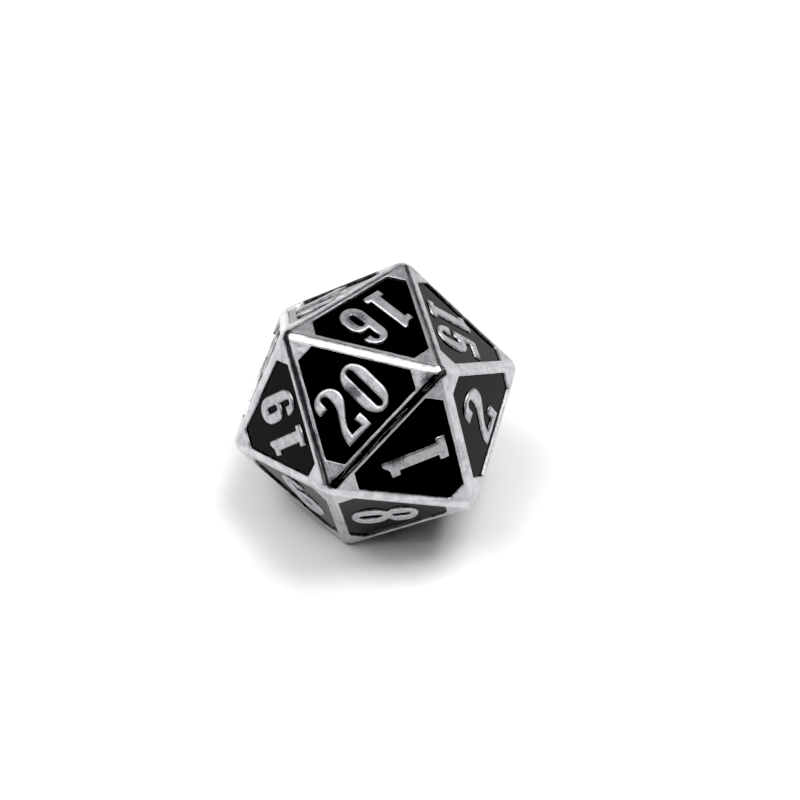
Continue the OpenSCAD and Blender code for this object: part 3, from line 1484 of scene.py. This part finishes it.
@dataclass
class Studio:
    """A plain pale floor, soft light and the camera.

    Attributes:
        floor_level: height of the floor, in metres.
        floor_size: width of the floor, in metres.
        floor_white: share of the light that the floor throws back.
        lights: the studio lights.
        flag: the card that darkens the edges towards the camera.
        azimuth: side that the camera stands on, in degrees.
        elevation: the camera's height above the horizon, in degrees.
        distance: the camera's distance from the die's centre, in metres.
        aim: what the camera points at, in metres.
        roll: the camera's lean, in degrees.
        lens: focal length, in millimetres.
        sensor: width of the camera's sensor, in millimetres.
        surround: colour of the surroundings that the camera sees.
        room: colour of the room that gives the light and reflections between the studio lights.
        black_level: brightness that is printed as black.
    """

    floor_level: float
    floor_size: float = 0.8
    floor_white: float = 0.9
    lights: tuple[Softbox, ...] = (
        Softbox("overhead", -15, 78, 0.7, (0.8, 0.55), 1.6),
        Softbox("backdrop", 180, 10, 0.8, (1.8, 0.26), 1.15),
        Softbox("rear fill", -165, 50, 0.8, (0.6, 0.3), 0.65),
        Softbox("left fill", -61, 62, 0.8, (0.5, 0.3), 6.3),
        Softbox("key", 122, 72, 0.8, (0.36, 0.36), 10.5),
    )
    flag: Flag = Flag("front_flag", 26, 0.12, (0.2, 0.13))
    azimuth: float = 17.26
    elevation: float = 46.74
    distance: float = 0.13286
    aim: tuple[float, float, float] = (0.00185, 0.00089, 0.00033)
    roll: float = 1.92
    lens: float = 70.8
    sensor: float = 36
    surround: Colour = (1, 1, 1, 1)
    room: Colour = (0.05, 0.05, 0.052, 1)
    black_level: float = 0.014

    def _floor(self) -> None:
        """A plain matt floor."""
        bm = bmesh.new()
        bmesh.ops.create_grid(bm, x_segments=1, y_segments=1, size=self.floor_size / 2)
        floor = scratch_object("floor", bm)
        floor.location.z = self.floor_level
        material = bpy.data.materials.new("floor_paint")
        material.use_nodes = True
        shader = material.node_tree.nodes["Principled BSDF"]
        shader.inputs["Base Color"].default_value = (*(self.floor_white,) * 3, 1)
        shader.inputs["Roughness"].default_value = 0.8
        shader.inputs["Specular IOR Level"].default_value = 0.1
        floor.data.materials.append(material)

    def _world(self) -> None:
        """Pale surroundings for the camera, and a dim room for light and reflections."""
        world = bpy.data.worlds.new("room")
        world.use_nodes = True
        tree = world.node_tree
        back = tree.nodes["Background"]
        path = tree.nodes.new("ShaderNodeLightPath")
        pick = tree.nodes.new("ShaderNodeMix")
        pick.data_type = "RGBA"
        pick.inputs[COLOUR_A].default_value = self.room
        pick.inputs[COLOUR_B].default_value = self.surround
        tree.links.new(path.outputs["Is Camera Ray"], pick.inputs[MIX_SHARE])
        tree.links.new(pick.outputs[COLOUR_OUT], back.inputs["Color"])
        bpy.context.scene.world = world

    def _camera(self) -> None:
        """The camera, at a three-quarter view from above."""
        data = bpy.data.cameras.new("camera")
        data.lens = self.lens
        data.sensor_width = self.sensor
        data.clip_start = 0.01
        camera = bpy.data.objects.new("camera", data)
        away = direction(self.azimuth, self.elevation)
        camera.location = self.distance * away
        look = (Vector(self.aim) - camera.location).to_track_quat("-Z", "Y")
        lean = Matrix.Rotation(math.radians(self.roll), 4, "Z")
        camera.matrix_world = Matrix.Translation(camera.location) @ look.to_matrix().to_4x4() @ lean
        bpy.context.scene.collection.objects.link(camera)
        bpy.context.scene.camera = camera

    def _print(self) -> None:
        """Sets how the picture is printed, with deep blacks."""
        settings = bpy.context.scene.view_settings
        settings.view_transform = "Standard"
        settings.use_curve_mapping = True
        settings.curve_mapping.black_level = (self.black_level,) * 3
        settings.curve_mapping.update()

    def build(self) -> None:
        """Sets up the floor, the lights, the room and the camera."""
        self._floor()
        self._world()
        for light in self.lights:
            light.build()
        self.flag.build(self.floor_level)
        self._camera()
        self._print()


def main() -> None:
    """Builds the casting, its enamel and the studio."""
    logging.basicConfig(level=logging.INFO, format="%(message)s")
    noise.seed_set(NOISE_SEED)
    low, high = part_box(CASTING_NODE)
    plan = DiePlan(across=(high.z - low.z) / MM)
    letters = Lettering(plan)
    Casting(plan, letters, PlatedMetal(plan)).build()
    EnamelPools(plan, letters, BlackEnamel()).build()
    Studio(floor_level=low.z).build()


if __name__ == "__main__":
    main()
